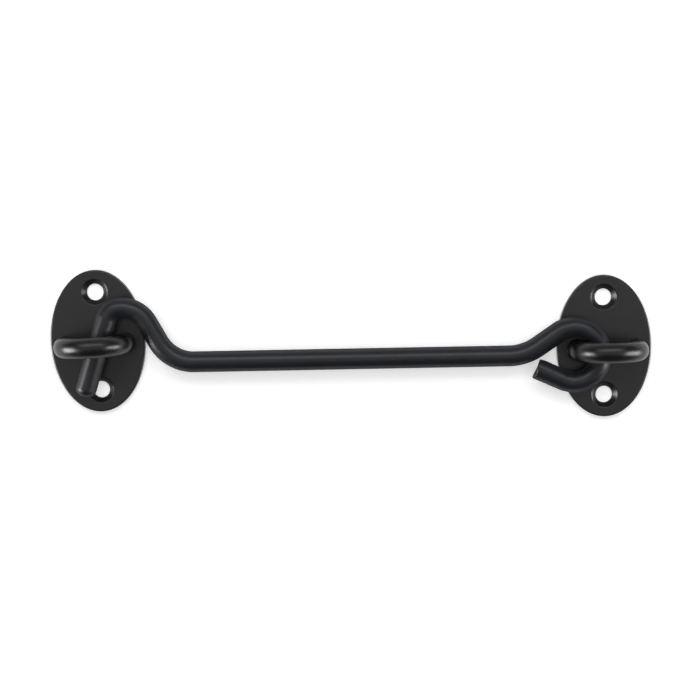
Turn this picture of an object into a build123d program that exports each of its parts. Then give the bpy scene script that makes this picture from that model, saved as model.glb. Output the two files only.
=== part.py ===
# Cabin hook: a bent rod that turns on one riveted staple and drops into another.
# Millimetres. The origin is the middle of the eye plate's back face, +X runs from the keeper to the eye,
# +Y is the way the hook lifts out of the keeper and +Z points away from the surface it is screwed to.
from build123d import *
import os
from math import cos, radians, sin, tan

# Oval plates, stamped, with a rolled front edge
plate_length = 45.0
plate_width = 29.8
plate_thickness = 2.5
plate_edge_radius = 0.5

# Screw holes, countersunk from the front
screw_hole_diameter = 5.3
screw_head_diameter = 8.2
screw_head_angle = 90.0
screw_pitch = 31.0

# Staples, one bent wire each, wider across the arch than in its plane, riveted through the plate
wire_diameter = 5.8
wire_width = 6.4
staple_pitch = 18.8
staple_leg_height = 5.2
staple_drop = 1.0
staple_side_offset = 0.6
tenon_diameter = 4.0
rivet_head_diameter = 5.6
rivet_head_angle = 90.0
rivet_clearance = 0.05
rivet_recess = 0.1

# Hook rod
rod_diameter = 6.6
rod_lift = 0.3
hook_tilt = -0.24
tip_edge_radius = 2.4
cut_skew = 14.0
cut_lean = 10.0
cut_edge_chamfer = 0.5

# Eye: an open loop with room round the inner leg of the eye staple, drawn to one side of that leg at rest
eye_room = 2.4
eye_clearance = 0.56
eye_pull_angle = 220.7
eye_tail_length = 8.6
eye_tail_angle = 245.0
neck_slope = 34.0
neck_bend_radius = 16.5

# Bar, crank, crest and the leg that drops through the keeper staple
bar_length = 98.9
crank_turn = 61.1
crank_bend_radius = 12.7
crank_length = 6.95
crest_rise_turn = 60.0
crest_rise_radius = 9.15
crest_length = 0.1
crest_fall_turn = 73.4
crest_fall_radius = 5.0
leg_length = 25.3

# Keeper, set where the leg crosses its staple
leg_below_staple = 16.8
keeper_leg_offset = 1.45
keeper_turn = 1.75

os.makedirs("parts", exist_ok=True)

half_pitch = staple_pitch / 2
wire_radius = wire_diameter / 2
rod_radius = rod_diameter / 2
tenon_radius = tenon_diameter / 2
on_base = (Align.CENTER, Align.CENTER, Align.MIN)

# Hook: the centreline lies in one plane, with the eye's centre as that plane's origin
eye_leg_x = staple_side_offset - half_pitch
eye_leg_y = -staple_drop
eye_radius = wire_radius + eye_room + rod_radius
eye_pull = eye_room - eye_clearance
eye_x = eye_leg_x + eye_pull * cos(radians(eye_pull_angle))
eye_y = eye_leg_y + eye_pull * sin(radians(eye_pull_angle))
hook_plane = Plane(
    origin=(eye_x, eye_y, plate_thickness + rod_lift + rod_radius),
    x_dir=(cos(radians(hook_tilt)), sin(radians(hook_tilt)), 0),
    z_dir=(0, 0, 1),
)
eye_sweep = 360 + 90 + neck_slope - eye_tail_angle
neck_bend_drop = neck_bend_radius * (1 - cos(radians(neck_slope)))
neck_length = (eye_radius * cos(radians(neck_slope)) - neck_bend_drop) / sin(radians(neck_slope))
cut_run = rod_radius * (tan(radians(cut_skew)) + tan(radians(cut_lean)))

with BuildPart() as hook:
    with BuildLine(hook_plane) as rod_line:
        eye = CenterArc((0, 0), eye_radius, eye_tail_angle, eye_sweep)
        tail = PolarLine(eye @ 0, cut_run - eye_tail_length, direction=eye % 0)
        neck = PolarLine(eye @ 1, neck_length, direction=eye % 1)
        neck_bend = JernArc(neck @ 1, neck % 1, neck_bend_radius, -neck_slope)
        bar = PolarLine(neck_bend @ 1, bar_length, direction=neck_bend % 1)
        crank_bend = JernArc(bar @ 1, bar % 1, crank_bend_radius, -crank_turn)
        crank = PolarLine(crank_bend @ 1, crank_length, direction=crank_bend % 1)
        crest_rise = JernArc(crank @ 1, crank % 1, crest_rise_radius, crest_rise_turn)
        crest = PolarLine(crest_rise @ 1, crest_length, direction=crest_rise % 1)
        crest_fall = JernArc(crest @ 1, crest % 1, crest_fall_radius, crest_fall_turn)
        leg = PolarLine(crest_fall @ 1, leg_length, direction=crest_fall % 1)
    with BuildSketch(Plane(origin=leg @ 1, z_dir=leg % 1)):
        Circle(rod_radius)
    sweep(path=rod_line.wire())
    shear_way = (tail % 1).rotate(Axis.Z, cut_skew) - Vector(0, 0, tan(radians(cut_lean)))
    with BuildPart(Plane(origin=tail @ 1, z_dir=tail % 1)):
        Cylinder(rod_radius, 2 * cut_run, align=on_base)
        split(bisect_by=Plane(origin=(tail @ 1) + (tail % 1) * cut_run, z_dir=shear_way), keep=Keep.BOTTOM)
    tip_rim = hook.edges().filter_by(GeomType.CIRCLE).sort_by_distance(leg @ 1)[0]
    cut_rim = hook.edges().filter_by(GeomType.ELLIPSE)
    fillet(tip_rim, tip_edge_radius)
    chamfer(cut_rim, cut_edge_chamfer)
hook.part.label = "hook"
export_step(hook.part, "parts/hook.step")

# Plates and staples: the eye's pair stands at the origin, the keeper's follows the hook's leg
leg_crossing = (leg @ 1) - (leg % 1) * leg_below_staple
keeper_across = (cos(radians(keeper_turn)), sin(radians(keeper_turn)), 0)
keeper_staple_foot = Plane(
    origin=(leg_crossing.X - keeper_leg_offset, leg_crossing.Y, 0), x_dir=keeper_across, z_dir=(0, 0, 1)
)
keeper_centre = keeper_staple_foot.from_local_coords((staple_side_offset, staple_drop, 0))
keeper_back = Plane(origin=keeper_centre, x_dir=keeper_across, z_dir=(0, 0, 1))

rivet_slope = tan(radians(rivet_head_angle / 2))
rivet_head_radius = rivet_head_diameter / 2 - rivet_recess * rivet_slope
rivet_head_depth = (rivet_head_radius - tenon_radius) / rivet_slope

for name, back, side in (("eye", Plane.XY, 1), ("keeper", keeper_back, -1)):
    staple_x = side * staple_side_offset
    leg_places = [(staple_x - half_pitch, -staple_drop), (staple_x + half_pitch, -staple_drop)]

    with BuildPart(back) as plate:
        with BuildSketch(back):
            Ellipse(plate_width / 2, plate_length / 2)
        extrude(amount=plate_thickness)
        fillet(plate.faces().sort_by(Axis.Z)[-1].edges(), plate_edge_radius)
        with Locations((0, screw_pitch / 2, plate_thickness), (0, -screw_pitch / 2, plate_thickness)):
            CounterSinkHole(
                screw_hole_diameter / 2,
                screw_head_diameter / 2,
                plate_thickness,
                screw_head_angle,
            )
        with Locations(*[Location((x, y, 0), (180, 0, 0)) for x, y in leg_places]):
            CounterSinkHole(
                tenon_radius + rivet_clearance,
                rivet_head_diameter / 2 + rivet_clearance,
                plate_thickness,
                rivet_head_angle,
            )
    plate.part.label = f"{name}_plate"
    export_step(plate.part, f"parts/{name}_plate.step")

    front = back.offset(plate_thickness)
    arch_plane = Plane(
        origin=front.from_local_coords((staple_x, -staple_drop, 0)), x_dir=back.x_dir, z_dir=-back.y_dir
    )
    with BuildPart(back) as staple:
        with BuildLine(arch_plane) as wire_line:
            inner_leg = Line((-half_pitch, 0), (-half_pitch, staple_leg_height))
            CenterArc((0, staple_leg_height), half_pitch, 180, -180)
            Line((half_pitch, staple_leg_height), (half_pitch, 0))
        with BuildSketch(Plane(origin=inner_leg @ 0, x_dir=back.x_dir, z_dir=back.z_dir)):
            Ellipse(wire_radius, wire_width / 2)
        sweep(path=wire_line.wire())
        with Locations(*[(x, y, rivet_recess) for x, y in leg_places]):
            Cylinder(tenon_radius, plate_thickness - rivet_recess, align=on_base)
            Cone(rivet_head_radius, tenon_radius, rivet_head_depth, align=on_base)
    staple.part.label = f"{name}_staple"
    export_step(staple.part, f"parts/{name}_staple.step")
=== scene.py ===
"""Cabin hook: pressed plates, riveted staples and one bent rod, all in satin black powder coat.

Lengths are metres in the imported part's frame: the origin is the middle of the eye plate's back face, +X runs
from the keeper to the eye, and +Z points away from the surface that the plates are screwed to.
"""

import logging
import math
from dataclasses import dataclass, field
from enum import Enum
from typing import Callable, List, Optional, Tuple

import bmesh
import bpy
from mathutils import Matrix, Vector


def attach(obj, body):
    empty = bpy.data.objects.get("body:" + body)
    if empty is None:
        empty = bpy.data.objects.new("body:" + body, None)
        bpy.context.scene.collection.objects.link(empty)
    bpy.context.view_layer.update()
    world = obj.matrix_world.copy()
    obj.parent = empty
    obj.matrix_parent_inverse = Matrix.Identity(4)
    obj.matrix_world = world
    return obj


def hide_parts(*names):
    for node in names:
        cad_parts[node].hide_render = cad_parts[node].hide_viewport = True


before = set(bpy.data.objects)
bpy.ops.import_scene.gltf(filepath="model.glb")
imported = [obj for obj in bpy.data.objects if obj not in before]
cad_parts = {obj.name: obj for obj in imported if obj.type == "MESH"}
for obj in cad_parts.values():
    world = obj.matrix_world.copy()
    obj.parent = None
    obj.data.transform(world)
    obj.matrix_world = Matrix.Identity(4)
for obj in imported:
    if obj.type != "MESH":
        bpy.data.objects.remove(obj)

LOG = logging.getLogger("cabin_hook")
MM = 0.001
UP = Vector((0, 0, 1))

# A turned shape, as pairs of radius and height
Profile = List[Tuple[float, float]]

# How close to a plane a point counts as lying on it
NEAR = 0.002 * MM

# Facets across a small broken edge
EDGE_FACETS = 3


class Body(Enum):
    """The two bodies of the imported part."""

    PLATES = "fixed_plates"
    ARM = "hook_arm"


class Slot(Enum):
    """The record's paint slots."""

    PLATE = "plate_coat"
    STAPLE = "staple_coat"
    ROD = "rod_coat"


class LampUse(Enum):
    """What a lamp does: light the surfaces, show in the gloss, or both."""

    BOTH = "both"
    LIGHT = "light"
    GLOSS = "gloss"


@dataclass(frozen=True)
class PowderCoat:
    """A satin powder coat: orange peel, fine grain and a slow drift of tone and gloss.

    Attributes:
        name: The material's name.
        tint: Linear colour of the coat.
        drift: Share by which the tint wanders over the surface.
        gloss_low: Roughness where the coat flowed out best.
        gloss_high: Roughness where it stayed dullest.
        peel_size: Width of one orange-peel ripple.
        peel_depth: Depth of the ripples.
        grain_size: Width of one grain.
        grain_depth: Depth of the grain.
        drift_size: Width of one patch of the slow drift.
        noise_span: Noise values at the two ends of the tint and of the gloss.
        refraction: The resin's refractive index.
        edge_dull: Roughness that the texture adds where the surface turns away.
        edge_span: How far the surface has turned away where that starts and where it is complete.
    """

    name: str
    tint: Tuple[float, float, float]
    drift: float = 0.14
    gloss_low: float = 0.32
    gloss_high: float = 0.39
    peel_size: float = 1.3 * MM
    peel_depth: float = 0.012 * MM
    grain_size: float = 0.24 * MM
    grain_depth: float = 0.003 * MM
    drift_size: float = 14.0 * MM
    noise_span: Tuple[float, float] = (0.3, 0.7)
    refraction: float = 1.42
    edge_dull: float = 0.0
    edge_span: Tuple[float, float] = (0.2, 0.75)

    def _noise(self, tree: bpy.types.NodeTree, size: float, detail: float) -> bpy.types.Node:
        """Add a noise that reads object coordinates.

        Args:
            tree: The material's nodes.
            size: Width of one feature.
            detail: Octaves of finer noise.

        Returns:
            The noise node.
        """
        place = tree.nodes.get("Place") or tree.nodes.new("ShaderNodeTexCoord")
        place.name = "Place"
        noise = tree.nodes.new("ShaderNodeTexNoise")
        noise.inputs["Scale"].default_value = 1.0 / size
        noise.inputs["Detail"].default_value = detail
        tree.links.new(place.outputs["Object"], noise.inputs["Vector"])
        return noise

    def _ripple(
        self, tree: bpy.types.NodeTree, size: float, depth: float, under: Optional[bpy.types.Node]
    ) -> bpy.types.Node:
        """Add one scale of surface relief on top of another.

        Args:
            tree: The material's nodes.
            size: Width of one ripple.
            depth: Depth of the ripples.
            under: The relief that this one lies on, if any.

        Returns:
            The bump node.
        """
        bump = tree.nodes.new("ShaderNodeBump")
        bump.inputs["Distance"].default_value = depth
        tree.links.new(self._noise(tree, size, detail=1.0).outputs["Fac"], bump.inputs["Height"])
        if under is not None:
            tree.links.new(under.outputs["Normal"], bump.inputs["Normal"])
        return bump

    def _dull_edges(self, tree: bpy.types.NodeTree, gloss: bpy.types.NodeSocket) -> bpy.types.NodeSocket:
        """Take the gloss down where the surface turns away and its fine texture closes up.

        Args:
            tree: The material's nodes.
            gloss: The roughness seen straight on.

        Returns:
            The roughness at any angle.
        """
        slant = tree.nodes.new("ShaderNodeLayerWeight")
        fade = tree.nodes.new("ShaderNodeMapRange")
        fade.interpolation_type = "SMOOTHSTEP"
        fade.inputs["From Min"].default_value = self.edge_span[0]
        fade.inputs["From Max"].default_value = self.edge_span[1]
        fade.inputs["To Max"].default_value = self.edge_dull
        tree.links.new(slant.outputs["Facing"], fade.inputs["Value"])
        total = tree.nodes.new("ShaderNodeMath")
        tree.links.new(gloss, total.inputs[0])
        tree.links.new(fade.outputs["Result"], total.inputs[1])
        return total.outputs["Value"]

    def make(self) -> bpy.types.Material:
        """Build the coat's material.

        Returns:
            The material, on object coordinates.
        """
        material = bpy.data.materials.new(self.name)
        material.use_nodes = True
        tree = material.node_tree
        coat = tree.nodes["Principled BSDF"]
        coat.inputs["IOR"].default_value = self.refraction
        drift = self._noise(tree, self.drift_size, detail=3.0)
        ramp = tree.nodes.new("ShaderNodeValToRGB")
        ends = (1.0 - self.drift, 1.0 + self.drift)
        for stop, place, share in zip(ramp.color_ramp.elements, self.noise_span, ends):
            stop.position = place
            stop.color = (*[channel * share for channel in self.tint], 1.0)
        tree.links.new(drift.outputs["Fac"], ramp.inputs["Fac"])
        tree.links.new(ramp.outputs["Color"], coat.inputs["Base Color"])
        gloss = tree.nodes.new("ShaderNodeMapRange")
        gloss.inputs["From Min"].default_value = self.noise_span[0]
        gloss.inputs["From Max"].default_value = self.noise_span[1]
        gloss.inputs["To Min"].default_value = self.gloss_low
        gloss.inputs["To Max"].default_value = self.gloss_high
        tree.links.new(self._noise(tree, self.peel_size, detail=2.0).outputs["Fac"], gloss.inputs["Value"])
        roughness = gloss.outputs["Result"]
        if self.edge_dull:
            roughness = self._dull_edges(tree, roughness)
        tree.links.new(roughness, coat.inputs["Roughness"])
        peel = self._ripple(tree, self.peel_size, self.peel_depth, None)
        grain = self._ripple(tree, self.grain_size, self.grain_depth, peel)
        tree.links.new(grain.outputs["Normal"], coat.inputs["Normal"])
        return material


class Workpiece:
    """One mesh while it is modelled, with the tools that act on it alone."""

    # Doubles closer than this are merged, and edges that turn by more than this stay sharp
    WELD = 0.001 * MM
    SHARP_ANGLE = math.radians(40.0)

    def __init__(self, name: str) -> None:
        """Start with no mesh; the first blank makes one.

        Args:
            name: The finished piece's name.
        """
        self.name = name
        self.obj: Optional[bpy.types.Object] = None

    @staticmethod
    def clear_bench() -> None:
        """Leave edit mode and deselect everything, so an operator acts on new work only."""
        if bpy.context.object is not None and bpy.context.object.mode != "OBJECT":
            bpy.ops.object.mode_set(mode="OBJECT")
        bpy.ops.object.select_all(action="DESELECT")

    def take_up(self) -> None:
        """Make this the one piece on the bench."""
        self.clear_bench()
        bpy.context.view_layer.objects.active = self.obj
        self.obj.select_set(True)

    def blank(self, radius: float, place: Vector, facing: Vector, sides: int, filled: bool) -> None:
        """Add a round blank and open it for editing with all of it selected.

        Args:
            radius: The blank's radius.
            place: Its centre.
            facing: The way that it faces.
            sides: Corners round its rim.
            filled: Whether the rim is closed by a face.
        """
        self.clear_bench()
        turn = facing.to_track_quat("Z", "Y").to_euler()
        fill = "NGON" if filled else "NOTHING"
        bpy.ops.mesh.primitive_circle_add(
            vertices=sides, radius=radius, fill_type=fill, location=place, rotation=turn
        )
        self.obj = bpy.context.object
        self.obj.name = self.name
        bpy.ops.object.transform_apply(location=True, rotation=True, scale=True)
        bpy.ops.object.mode_set(mode="EDIT")
        bpy.ops.mesh.select_mode(type="VERT")
        bpy.ops.mesh.select_all(action="SELECT")

    def pick_points(self, test: Callable[[Vector], bool]) -> None:
        """Select the points that pass a test, and the edges and faces between them.

        Args:
            test: Given a point's place, says whether it is wanted.
        """
        bpy.ops.mesh.select_mode(type="VERT")
        bpy.ops.mesh.select_all(action="DESELECT")
        mesh = bmesh.from_edit_mesh(self.obj.data)
        for point in mesh.verts:
            if test(point.co):
                point.select_set(True)
        mesh.select_flush(True)
        bmesh.update_edit_mesh(self.obj.data)

    def pick_edges(self, test: Callable[[Vector, Vector], bool]) -> None:
        """Select the edges that pass a test.

        Args:
            test: Given an edge's two ends, says whether it is wanted.
        """
        bpy.ops.mesh.select_mode(type="EDGE")
        bpy.ops.mesh.select_all(action="DESELECT")
        mesh = bmesh.from_edit_mesh(self.obj.data)
        for edge in mesh.edges:
            if test(edge.verts[0].co, edge.verts[1].co):
                edge.select_set(True)
        bmesh.update_edit_mesh(self.obj.data)

    def round_edges(self, radius: float, segments: int) -> None:
        """Round the selected edges.

        Args:
            radius: Radius of a right-angled edge.
            segments: Facets across the round.
        """
        bpy.ops.mesh.bevel(offset=radius, offset_type="OFFSET", segments=segments, profile=0.5, affect="EDGES")

    def face_outwards(self) -> None:
        """Turn all the faces outwards and leave edit mode."""
        bpy.ops.mesh.select_all(action="SELECT")
        bpy.ops.mesh.normals_make_consistent(inside=False)
        bpy.ops.object.mode_set(mode="OBJECT")

    def cut(self, tool: "Workpiece") -> None:
        """Cut another workpiece out of this one and throw it away.

        Args:
            tool: The shape to take away.
        """
        self.take_up()
        cutter = self.obj.modifiers.new("cut", "BOOLEAN")
        cutter.operation = "DIFFERENCE"
        cutter.solver = "EXACT"
        cutter.object = tool.obj
        bpy.ops.object.modifier_apply(modifier=cutter.name)
        bpy.data.objects.remove(tool.obj)

    def finish(self) -> bpy.types.Object:
        """Close the work: merge doubles, turn faces outwards and smooth all but the sharp edges.

        Returns:
            The finished object.
        """
        self.take_up()
        bpy.ops.object.mode_set(mode="EDIT")
        bpy.ops.mesh.select_all(action="SELECT")
        bpy.ops.mesh.remove_doubles(threshold=self.WELD)
        self.face_outwards()
        bpy.ops.object.shade_smooth_by_angle(angle=self.SHARP_ANGLE)
        even = self.obj.modifiers.new("even", "WEIGHTED_NORMAL")
        even.keep_sharp = True
        bpy.ops.object.modifier_apply(modifier=even.name)
        return self.obj


class RodBender:
    """Forms a round bar in edit mode as a bender does: feed it forward, turn it about a former."""

    # Turn of one facet along a bend
    STEP = math.radians(3.0)

    def __init__(self, piece: Workpiece, head: Vector, way: Vector, radius: float, sides: int) -> None:
        """Set up the bar's first end.

        Args:
            piece: The workpiece that the bar becomes.
            head: The middle of its first end.
            way: The way that it is fed.
            radius: Its radius there.
            sides: Facets round the bar.
        """
        self.piece = piece
        self.head = head.copy()
        self.way = way.normalized()
        self.radius = radius
        piece.blank(radius, self.head, self.way, sides, filled=False)

    def close_end(self) -> None:
        """Fill the open end that is selected, and keep its rim selected."""
        bpy.ops.mesh.edge_face_add()

    def feed(self, length: float, radius: Optional[float] = None) -> None:
        """Push the open end forward.

        Args:
            length: How far.
            radius: The bar's radius at the new end, where it changes.
        """
        move = self.way * length
        bpy.ops.mesh.extrude_region_move(TRANSFORM_OT_translate={"value": move})
        self.head += move
        if radius is not None:
            share = radius / self.radius
            bpy.ops.transform.resize(value=(share, share, share), center_override=self.head)
            self.radius = radius

    def follow(self, profile: Profile) -> None:
        """Feed the bar along a profile, up it or down it.

        Args:
            profile: Radii and heights; the first pair is where the open end is now.
        """
        for (_, height), (radius, next_height) in zip(profile, profile[1:]):
            self.feed(abs(next_height - height), radius)

    def turn(self, bend_radius: float, angle: float, axis: Vector) -> None:
        """Bend the bar round a former.

        Args:
            bend_radius: Radius of the bend's centreline.
            angle: Angle of the bend; positive turns left as seen with the axis towards the eye.
            axis: The way that the former's axis points.
        """
        side = axis.cross(self.way).normalized() * math.copysign(bend_radius, angle)
        centre = self.head + side
        steps = max(2, math.ceil(abs(angle) / self.STEP))
        bpy.ops.mesh.spin(steps=steps, angle=-angle, center=centre, axis=axis)
        swing = Matrix.Rotation(angle, 3, axis)
        self.head = centre + swing @ (self.head - centre)
        self.way = swing @ self.way

    def shear_off(self, place: Vector, facing: Vector, edge_radius: float) -> None:
        """Shear off the bar's first end, break the cut's edge and take up the open end again.

        Args:
            place: A point on the cut.
            facing: The way that the cut looks, of length 1.
            edge_radius: Radius of the broken edge.
        """
        bpy.ops.mesh.select_all(action="SELECT")
        bpy.ops.mesh.bisect(plane_co=place, plane_no=facing, use_fill=True, clear_outer=True)

        def on_cut(point: Vector) -> bool:
            """Say whether a point lies on the cut."""
            return abs((point - place).dot(facing)) < NEAR

        self.piece.pick_edges(lambda a, b: on_cut(a) and on_cut(b))
        self.piece.round_edges(edge_radius, EDGE_FACETS)
        self.piece.pick_points(lambda point: abs((point - self.head).dot(self.way)) < NEAR)


@dataclass
class OvalPlate:
    """A stamped oval plate with two countersunk screw holes and two rivet holes.

    Attributes:
        name: The piece's name.
        node: The node that it stands for.
        centre: The middle of its back face.
        turn: Its turn about +Z.
        staple_side: How far the staple's middle lies from the plate's, across the plate.
        length: The oval's length.
        width: The oval's width.
        thickness: The sheet's thickness.
        front_round: Radius of the rolled front edge.
        front_facets: Facets across that edge.
        back_round: Radius of the broken back edge.
        screw_radius: Radius of a screw hole.
        screw_head_radius: Radius of its countersink at the front face.
        screw_pitch: Distance between the screw holes.
        sink_lip: Width of the lip that is rolled into the front face round a countersink.
        rivet_hole_radius: Radius of a rivet hole.
        rivet_sink_radius: Radius of its countersink at the back face.
        staple_pitch: Distance between the rivet holes.
        staple_drop: How far the rivet holes lie below the plate's middle.
        rim_sides: Corners round the oval.
        hole_sides: Corners round a hole.
        spare: How far a cutter reaches past the plate.
    """

    name: str
    node: str
    centre: Vector
    turn: float
    staple_side: float
    length: float = 45.0 * MM
    width: float = 29.8 * MM
    thickness: float = 2.5 * MM
    front_round: float = 0.5 * MM
    front_facets: int = 7
    back_round: float = 0.12 * MM
    screw_radius: float = 2.65 * MM
    screw_head_radius: float = 4.1 * MM
    screw_pitch: float = 31.0 * MM
    sink_lip: float = 0.22 * MM
    rivet_hole_radius: float = 2.05 * MM
    rivet_sink_radius: float = 2.85 * MM
    staple_pitch: float = 18.8 * MM
    staple_drop: float = 1.0 * MM
    rim_sides: int = 192
    hole_sides: int = 72
    spare: float = 0.4 * MM

    # The lip's line, outwards and down from the countersink's edge, in shares of its width
    LIP_CURVE = ((-1.0, 1.0), (-0.45, 0.52), (0.2, 0.16), (1.0, 0.0))

    def place(self) -> Matrix:
        """Return the matrix from the plate's own frame to the part's."""
        return Matrix.Translation(self.centre) @ Matrix.Rotation(self.turn, 4, "Z")

    def _blank(self) -> Workpiece:
        """Press the oval with its rolled front edge.

        Returns:
            The plate with no holes, at the origin.
        """
        plate = Workpiece(self.name)
        plate.blank(1.0, Vector((0, 0, 0)), UP, self.rim_sides, filled=True)
        bpy.ops.transform.resize(value=(self.width / 2, self.length / 2, 1.0), center_override=(0, 0, 0))
        bpy.ops.mesh.extrude_region_move(TRANSFORM_OT_translate={"value": (0, 0, self.thickness)})
        half = self.thickness / 2
        plate.pick_edges(lambda a, b: a.z > half and b.z > half)
        plate.round_edges(self.front_round, self.front_facets)
        plate.pick_edges(lambda a, b: max(a.z, b.z) < NEAR)
        plate.round_edges(self.back_round, EDGE_FACETS)
        return plate

    def _drill(self, profile: Profile, x: float, y: float) -> Workpiece:
        """Turn a cutter for one hole.

        Args:
            profile: Its radii and heights, from the bottom up.
            x: The hole's place across the plate.
            y: Its place along the plate.

        Returns:
            The cutter, standing in the plate.
        """
        radius, height = profile[0]
        bar = RodBender(Workpiece("cutter"), Vector((x, y, height)), UP, radius, self.hole_sides)
        bar.close_end()
        bar.follow(profile)
        bar.close_end()
        bar.piece.face_outwards()
        return bar.piece

    def _screw_profile(self) -> Profile:
        """Give the countersink's radii and heights, with the lip rolled into the front face.

        Returns:
            Radius and height pairs from below the plate to above it.
        """
        hole, head = self.screw_radius, self.screw_head_radius
        top, lip = self.thickness, self.sink_lip
        throat = top - (head - hole)
        return [
            (hole, -self.spare),
            (hole, throat - lip / 2),
            (hole + lip / 6, throat),
            *[(head + lip * out, top - lip * down) for out, down in self.LIP_CURVE],
            (head + lip, top + self.spare),
        ]

    def _rivet_profile(self) -> Profile:
        """Give the rivet hole's radii and heights, countersunk from the back.

        Returns:
            Radius and height pairs from below the plate to above it.
        """
        sink_depth = self.rivet_sink_radius - self.rivet_hole_radius
        return [
            (self.rivet_sink_radius, -self.spare),
            (self.rivet_sink_radius, 0.0),
            (self.rivet_hole_radius, sink_depth),
            (self.rivet_hole_radius, self.thickness + self.spare),
        ]

    def build(self, coat: bpy.types.Material) -> None:
        """Press, drill and coat the plate, and set it in its place.

        Args:
            coat: The plate's finish.
        """
        plate = self._blank()
        for end in (1, -1):
            plate.cut(self._drill(self._screw_profile(), 0.0, end * self.screw_pitch / 2))
        for end in (1, -1):
            across = self.staple_side + end * self.staple_pitch / 2
            plate.cut(self._drill(self._rivet_profile(), across, -self.staple_drop))
        piece = plate.finish()
        piece.data.transform(self.place())
        dress(piece, coat, Body.PLATES, self.node)


@dataclass
class Staple:
    """One bent wire, shouldered, riveted through the plate and coated down to it.

    Attributes:
        name: The piece's name.
        node: The node that it stands for.
        plate: The plate that it is riveted to.
        wire_radius: Half the wire's size in the plane of the arch.
        wire_width: The wire's size across the arch.
        leg_height: Straight height of a leg above the plate.
        tenon_radius: Radius of the tenon in the plate.
        rivet_radius: Radius of the rivet's tail.
        rivet_recess: How far the tail lies inside the plate's back face.
        rivet_rim: How far the tail's widest line lies inside its end.
        rivet_dome: Height of the dome on that end.
        fillet: Width of the coat's fillet round a foot.
        foot_sink: How far a foot's shoulder reaches into the plate's face.
        sides: Facets round the wire.
    """

    name: str
    node: str
    plate: OvalPlate
    wire_radius: float = 2.9 * MM
    wire_width: float = 6.4 * MM
    leg_height: float = 5.2 * MM
    tenon_radius: float = 2.0 * MM
    rivet_radius: float = 2.7 * MM
    rivet_recess: float = 0.1 * MM
    rivet_rim: float = 0.02 * MM
    rivet_dome: float = 0.06 * MM
    fillet: float = 0.15 * MM
    foot_sink: float = 0.02 * MM
    sides: int = 64

    # The dome's line in shares of the tail's radius and the dome's height, and the fillet's in shares of its width
    DOME_CURVE = ((0.45, 1.0), (0.8, 0.7))
    FILLET_CURVE = ((0.62, 0.12), (0.3, 0.34), (0.1, 0.66), (0.0, 1.1))

    def _foot_profile(self) -> Profile:
        """Give one foot's radii and heights, from the rivet's tail to the wire.

        Returns:
            Radius and height pairs from the plate's back upwards.
        """
        low, top, wire = self.rivet_recess, self.plate.thickness, self.wire_radius
        return [
            *[(self.rivet_radius * out, low - self.rivet_dome * down) for out, down in self.DOME_CURVE],
            (self.rivet_radius, low + self.rivet_rim),
            (self.tenon_radius, low + self.rivet_radius - self.tenon_radius),
            (self.tenon_radius, top - self.foot_sink),
            (wire + self.fillet, top - self.foot_sink / 2),
            *[(wire + self.fillet * out, top + self.fillet * rise) for out, rise in self.FILLET_CURVE],
        ]

    def _press_flat(self, piece: Workpiece) -> None:
        """Widen the wire across the arch, from the shoulder upwards.

        Args:
            piece: The bent wire, with its feet still round.
        """
        under_shoulder = self.plate.thickness - 0.75 * self.foot_sink
        piece.pick_points(lambda point: point.z > under_shoulder)
        bpy.ops.transform.resize(
            value=(1, self.wire_width / (2 * self.wire_radius), 1),
            center_override=(0, -self.plate.staple_drop, 0),
        )

    def build(self, coat: bpy.types.Material) -> None:
        """Bend, rivet and coat the staple, and set it in its plate.

        Args:
            coat: The staple's finish.
        """
        profile = self._foot_profile()
        tail_radius, tail_height = profile[0]
        half = self.plate.staple_pitch / 2
        foot = Vector((self.plate.staple_side - half, -self.plate.staple_drop, tail_height))
        straight = self.plate.thickness + self.leg_height - profile[-1][1]
        bar = RodBender(Workpiece(self.name), foot, UP, tail_radius, self.sides)
        bar.close_end()
        bar.follow(profile)
        bar.feed(straight)
        bar.turn(half, math.pi, Vector((0, 1, 0)))
        bar.feed(straight)
        bar.follow(profile[::-1])
        bar.close_end()
        self._press_flat(bar.piece)
        piece = bar.piece.finish()
        piece.data.transform(self.plate.place())
        dress(piece, coat, Body.PLATES, self.node)


@dataclass(frozen=True)
class ShearMark:
    """What the shear did to one corner of a cut.

    Attributes:
        side: 1 for the lower corner of the cut and -1 for the upper one.
        length: How far the metal moved.
        down: Share of that towards the lower corner.
        along: Share of it along the rod, out of the cut.
        depth: How far behind the cut the corner's metal reaches.
        root: How far round the corner the metal follows.
    """

    side: int
    length: float
    down: float
    along: float
    depth: float
    root: float


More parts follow.
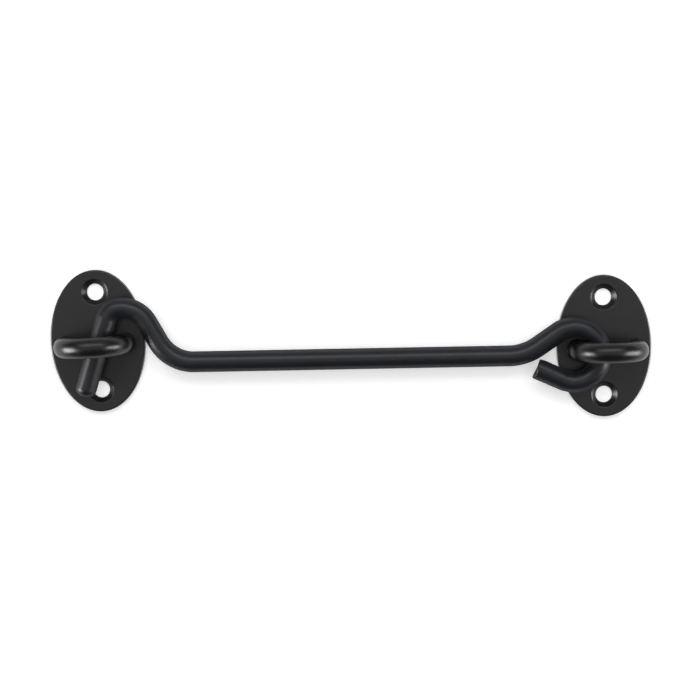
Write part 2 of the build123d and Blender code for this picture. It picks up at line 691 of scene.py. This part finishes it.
@dataclass
class HookRod:
    """One round rod bent in one plane, with an open eye at one end and the hook at the other.

    Attributes:
        name: The piece's name.
        node: The node that it stands for.
        radius: The rod's radius.
        eye_centre: The middle of the eye's bend.
        tilt: Turn of the whole rod about +Z.
        tip_round: Radius of the rounded tip's rim.
        tip_facets: Facets across that round.
        cut_skew: Turn of the sheared cut in the rod's plane.
        cut_lean: Lean of the cut out of that plane.
        cut_round: Radius of the cut's broken edge.
        marks: What the shear did to the cut's corners.
        tail_length: Straight length from the cut to the eye's bend.
        tail_angle: Where the eye's bend starts, from +X towards +Y.
        eye_radius: Radius of the eye's centreline.
        neck_slope: Slope of the neck between the eye and the bar.
        neck_radius: Radius of the bend from the neck into the bar.
        bar_length: Straight length of the bar.
        crank_turn: Turn of the bend from the bar into the crank.
        crank_radius: Radius of that bend.
        crank_length: Straight length of the crank.
        crest_rise: Turn of the first bend of the crest.
        crest_rise_radius: Radius of that bend.
        crest_length: Straight length between the crest's bends.
        crest_fall: Turn of the second bend of the crest.
        crest_fall_radius: Radius of that bend.
        leg_length: Straight length of the leg.
        sides: Facets round the rod.
    """

    name: str = "hook_rod"
    node: str = "hook"
    radius: float = 3.3 * MM
    eye_centre: Vector = field(default_factory=lambda: Vector((-10.195, -2.1999, 6.1)) * MM)
    tilt: float = math.radians(-0.24)
    tip_round: float = 2.4 * MM
    tip_facets: int = 9
    cut_skew: float = math.radians(14.0)
    cut_lean: float = math.radians(10.0)
    cut_round: float = 0.5 * MM
    marks: Tuple[ShearMark, ...] = (
        ShearMark(side=-1, length=0.3 * MM, down=0.65, along=-0.75, depth=0.6 * MM, root=1.5 * MM),
        ShearMark(side=1, length=1.15 * MM, down=0.15, along=1.0, depth=0.08 * MM, root=1.35 * MM),
    )
    tail_length: float = 8.6 * MM
    tail_angle: float = math.radians(245.0)
    eye_radius: float = 8.6 * MM
    neck_slope: float = math.radians(34.0)
    neck_radius: float = 16.5 * MM
    bar_length: float = 98.9 * MM
    crank_turn: float = math.radians(61.1)
    crank_radius: float = 12.7 * MM
    crank_length: float = 6.95 * MM
    crest_rise: float = math.radians(60.0)
    crest_rise_radius: float = 9.15 * MM
    crest_length: float = 0.1 * MM
    crest_fall: float = math.radians(73.4)
    crest_fall_radius: float = 5.0 * MM
    leg_length: float = 25.3 * MM
    sides: int = 72

    # Where a corner's metal and the tip's rim lie, in shares of the rod's radius
    CORNER_BAND = (0.8, 1.02)
    CORNER_LOWEST = -0.1
    RIM_REACH = 1.1

    def eye_sweep(self) -> float:
        """Return the turn of the eye's bend, from the tail round to the neck."""
        return math.radians(360.0 + 90.0) + self.neck_slope - self.tail_angle

    def neck_length(self) -> float:
        """Return the straight run between the eye and the bend into the bar."""
        drop = self.neck_radius * (1 - math.cos(self.neck_slope))
        return (self.eye_radius * math.cos(self.neck_slope) - drop) / math.sin(self.neck_slope)

    def build(self, coat: bpy.types.Material) -> None:
        """Bend the rod, finish its two ends and coat it.

        Args:
            coat: The rod's finish.
        """
        spin = Matrix.Rotation(self.tilt, 3, "Z")
        out = Vector((math.cos(self.tail_angle), math.sin(self.tail_angle), 0))
        way = spin @ Vector((-out.y, out.x, 0))
        cut_end = self.eye_centre + spin @ out * self.eye_radius - way * self.tail_length
        cut_run = self.radius * (math.tan(self.cut_skew) + math.tan(self.cut_lean))
        cut_way = Matrix.Rotation(self.cut_skew, 3, "Z") @ -way - UP * math.tan(self.cut_lean)
        cut_way.normalize()
        bar = RodBender(Workpiece(self.name), cut_end - way * cut_run, way, self.radius, self.sides)
        bar.feed(2 * cut_run)
        bar.shear_off(cut_end, cut_way, self.cut_round)
        bar.feed(self.tail_length - cut_run)
        bar.turn(self.eye_radius, self.eye_sweep(), UP)
        bar.feed(self.neck_length())
        bar.turn(self.neck_radius, -self.neck_slope, UP)
        bar.feed(self.bar_length)
        bar.turn(self.crank_radius, -self.crank_turn, UP)
        bar.feed(self.crank_length)
        bar.turn(self.crest_rise_radius, self.crest_rise, UP)
        bar.feed(self.crest_length)
        bar.turn(self.crest_fall_radius, self.crest_fall, UP)
        bar.feed(self.leg_length)
        bar.close_end()
        self._round_tip(bar)
        for mark in self.marks:
            self._mark_corner(bar.piece, cut_end, cut_way, -way, mark)
        piece = bar.piece.finish()
        dress(piece, coat, Body.ARM, self.node)

    def _round_tip(self, bar: RodBender) -> None:
        """Round the rim of the leg's tip.

        Args:
            bar: The bent rod, with its tip as the last end.
        """

        def on_rim(point: Vector) -> bool:
            """Say whether a point lies on the tip's rim."""
            offset = point - bar.head
            return abs(offset.dot(bar.way)) < NEAR and offset.length < self.RIM_REACH * self.radius

        bar.piece.pick_edges(lambda a, b: on_rim(a) and on_rim(b))
        bar.piece.round_edges(self.tip_round, self.tip_facets)

    def _mark_corner(
        self, piece: Workpiece, cut_end: Vector, cut_way: Vector, out: Vector, mark: ShearMark
    ) -> None:
        """Pull one corner of the cut as the shear left it, and the metal round it with it.

        Args:
            piece: The rod.
            cut_end: The middle of the cut.
            cut_way: The way that the cut faces.
            out: The way that the free end points.
            mark: What the shear did there.
        """
        low = UP.cross(out)
        side = low * mark.side
        inner, outer = (share * self.radius for share in self.CORNER_BAND)
        lowest = self.CORNER_LOWEST * self.radius

        def at_corner(point: Vector) -> bool:
            """Say whether a point is part of the corner."""
            offset = point - cut_end
            behind = -offset.dot(cut_way)
            return inner < offset.dot(side) < outer and -NEAR < behind < mark.depth and offset.z > lowest

        piece.pick_points(at_corner)
        bpy.ops.transform.translate(
            value=mark.length * (low * mark.down + out * mark.along),
            use_proportional_edit=True,
            use_proportional_connected=True,
            proportional_edit_falloff="SMOOTH",
            proportional_size=mark.root,
        )


def dress(piece: bpy.types.Object, coat: bpy.types.Material, body: Body, node: str) -> None:
    """Coat a finished piece and let it stand for its node.

    Args:
        piece: The finished mesh.
        coat: Its finish.
        body: The body that it rides on.
        node: The node that it replaces.
    """
    piece.data.materials.clear()
    piece.data.materials.append(coat)
    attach(piece, body.value)
    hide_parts(node)
    LOG.info("%s rides on %s for %s, %d faces", piece.name, body.value, node, len(piece.data.polygons))


@dataclass(frozen=True)
class Softbox:
    """One soft light, aimed at the middle of the part.

    Attributes:
        name: The lamp's name.
        azimuth: Where it stands, in degrees from +X towards +Y.
        elevation: Its height in degrees above the floor.
        distance: How far it stands from the middle of the part.
        size: Its width and height.
        radiance: How bright its face is.
        use: Whether it lights, shows in the gloss, or both.
    """

    name: str
    azimuth: float
    elevation: float
    distance: float
    size: Tuple[float, float]
    radiance: float
    use: LampUse = LampUse.BOTH

    def hang(self, middle: Vector) -> None:
        """Hang the lamp.

        Args:
            middle: The point that it is aimed at.
        """
        flat = math.radians(self.azimuth)
        rise = math.radians(self.elevation)
        way = Vector((math.cos(rise) * math.cos(flat), math.cos(rise) * math.sin(flat), math.sin(rise)))
        lamp = bpy.data.lights.new(self.name, "AREA")
        lamp.shape = "RECTANGLE"
        lamp.size, lamp.size_y = self.size
        lamp.energy = self.radiance * math.pi * self.size[0] * self.size[1]
        light = bpy.data.objects.new(self.name, lamp)
        light.location = middle + way * self.distance
        light.rotation_euler = way.to_track_quat("Z", "Y").to_euler()
        light.visible_camera = False
        light.visible_glossy = self.use is not LampUse.LIGHT
        light.visible_diffuse = self.use is not LampUse.GLOSS
        bpy.context.scene.collection.objects.link(light)


@dataclass
class Studio:
    """A white table, soft lamps and the camera above the part.

    Attributes:
        middle: The point that the lamps are aimed at.
        camera_foot: The camera's place over the table.
        camera_height: Its height above the middle.
        camera_reach: How far down the table from its own foot it is aimed.
        camera_roll: Its turn about +Z.
        clip: Nearest and farthest distance that it sees.
        image_width: Width of the picture in pixels.
        pixels_per_mm: The picture's scale at the middle.
        sensor: Width of the camera's sensor in millimetres.
        floor_size: Width of the table.
        floor_gap: How far it lies below the part.
        floor_colour: Share of the light that it returns.
        floor_glow: Brightness of its own, which is seen and lights nothing.
        world_light: Strength of the room's even light.
        lamps: The soft lights.
    """

    middle: Vector = field(default_factory=lambda: Vector((-80.0, 0.0, 2.5)) * MM)
    camera_foot: Tuple[float, float] = (-79.52 * MM, 42.2 * MM)
    camera_height: float = 480.0 * MM
    camera_reach: float = 41.63 * MM
    camera_roll: float = math.radians(-1.32)
    clip: Tuple[float, float] = (0.01, 20.0)
    image_width: int = 700
    pixels_per_mm: float = 3.171
    sensor: float = 36.0
    floor_size: float = 6.0
    floor_gap: float = 0.02 * MM
    floor_colour: float = 0.85
    floor_glow: float = 0.42
    world_light: float = 0.08
    lamps: Tuple[Softbox, ...] = (
        Softbox("left_card", 191.0, 21.0, 0.65, (0.29, 0.36), 19.5, LampUse.GLOSS),
        Softbox("right_card", -7.0, 22.0, 0.65, (0.26, 0.5), 12.0, LampUse.GLOSS),
        Softbox("top_softbox", 90.0, 76.0, 1.0, (1.3, 1.1), 0.62),
        Softbox("back_softbox", 90.0, 55.0, 1.0, (1.3, 0.32), 2.9),
        Softbox("back_wall", 90.0, 22.0, 1.0, (1.6, 0.5), 0.45),
        Softbox("top_fill", 270.0, 86.0, 1.0, (1.4, 1.4), 0.75, LampUse.LIGHT),
    )

    @staticmethod
    def _seen(tree: bpy.types.NodeTree) -> bpy.types.NodeSocket:
        """Tell a ray that sees a surface from one that only lights it.

        Args:
            tree: The nodes to add to.

        Returns:
            A socket that is 1 for camera, glossy and transmission rays.
        """
        path = tree.nodes.new("ShaderNodeLightPath")
        seen = path.outputs["Is Camera Ray"]
        for other in ("Is Glossy Ray", "Is Transmission Ray"):
            either = tree.nodes.new("ShaderNodeMath")
            either.operation = "MAXIMUM"
            tree.links.new(seen, either.inputs[0])
            tree.links.new(path.outputs[other], either.inputs[1])
            seen = either.outputs["Value"]
        return seen

    def lay_floor(self) -> None:
        """Lay the white table, which keeps the part's shadow."""
        Workpiece.clear_bench()
        bpy.ops.mesh.primitive_plane_add(size=self.floor_size, location=(self.middle.x, 0, -self.floor_gap))
        floor = bpy.context.object
        floor.name = "floor"
        material = bpy.data.materials.new("white_table")
        material.use_nodes = True
        tree = material.node_tree
        tree.nodes.remove(tree.nodes["Principled BSDF"])
        paint = tree.nodes.new("ShaderNodeBsdfDiffuse")
        paint.inputs["Color"].default_value = (*[self.floor_colour] * 3, 1.0)
        glow = tree.nodes.new("ShaderNodeEmission")
        level = tree.nodes.new("ShaderNodeMath")
        level.operation = "MULTIPLY"
        level.inputs[1].default_value = self.floor_glow
        tree.links.new(self._seen(tree), level.inputs[0])
        tree.links.new(level.outputs["Value"], glow.inputs["Strength"])
        both = tree.nodes.new("ShaderNodeAddShader")
        tree.links.new(paint.outputs["BSDF"], both.inputs[0])
        tree.links.new(glow.outputs["Emission"], both.inputs[1])
        tree.links.new(both.outputs["Shader"], tree.nodes["Material Output"].inputs["Surface"])
        floor.data.materials.append(material)

    def light_world(self) -> None:
        """Light the room softly and evenly."""
        world = bpy.data.worlds.new("white_room")
        bpy.context.scene.world = world
        world.use_nodes = True
        sky = world.node_tree.nodes["Background"]
        sky.inputs["Color"].default_value = (1.0, 1.0, 1.0, 1.0)
        sky.inputs["Strength"].default_value = self.world_light

    def set_camera(self) -> None:
        """Set the camera almost straight above the part."""
        lens = bpy.data.cameras.new("camera")
        camera = bpy.data.objects.new("camera", lens)
        x, y = self.camera_foot
        camera.location = (x, y, self.middle.z + self.camera_height)
        camera.rotation_euler = (-math.atan2(self.camera_reach, self.camera_height), 0.0, self.camera_roll)
        lens.sensor_width = self.sensor
        depth_in_pixels = self.pixels_per_mm / MM * self.camera_height
        lens.lens = self.sensor * depth_in_pixels / self.image_width
        lens.clip_start, lens.clip_end = self.clip
        bpy.context.scene.collection.objects.link(camera)
        bpy.context.scene.camera = camera

    def build(self) -> None:
        """Set up the floor, the lamps, the room and the camera."""
        self.lay_floor()
        self.light_world()
        for lamp in self.lamps:
            lamp.hang(self.middle)
        self.set_camera()
        bpy.context.scene.view_settings.view_transform = "Standard"


def main() -> None:
    """Build the part's pieces in order, then the studio round them."""
    logging.basicConfig(level=logging.INFO, format="%(name)s: %(message)s")
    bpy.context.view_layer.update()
    plate_coat = PowderCoat("plate_powder_coat", (0.0046, 0.0046, 0.0044), refraction=1.48)
    staple_coat = PowderCoat("staple_powder_coat", (0.0042, 0.0042, 0.0045), gloss_low=0.29, gloss_high=0.35)
    rod_coat = PowderCoat("rod_powder_coat", (0.0092, 0.0101, 0.0142), refraction=1.4, edge_dull=0.4)
    plate_paint, staple_paint, rod_paint = (coat.make() for coat in (plate_coat, staple_coat, rod_coat))
    eye_plate = OvalPlate(
        "eye_plate_pressed",
        "eye_plate",
        centre=Vector((0, 0, 0)),
        turn=0.0,
        staple_side=0.6 * MM,
    )
    keeper_plate = OvalPlate(
        "keeper_plate_pressed",
        "keeper_plate",
        centre=Vector((-160.2297, 5.2413, 0)) * MM,
        turn=math.radians(1.75),
        staple_side=-0.6 * MM,
    )
    eye_plate.build(plate_paint)
    keeper_plate.build(plate_paint)
    Staple("eye_staple_wire", "eye_staple", eye_plate).build(staple_paint)
    Staple("keeper_staple_wire", "keeper_staple", keeper_plate).build(staple_paint)
    HookRod().build(rod_paint)
    Studio().build()


if __name__ == "__main__":
    main()
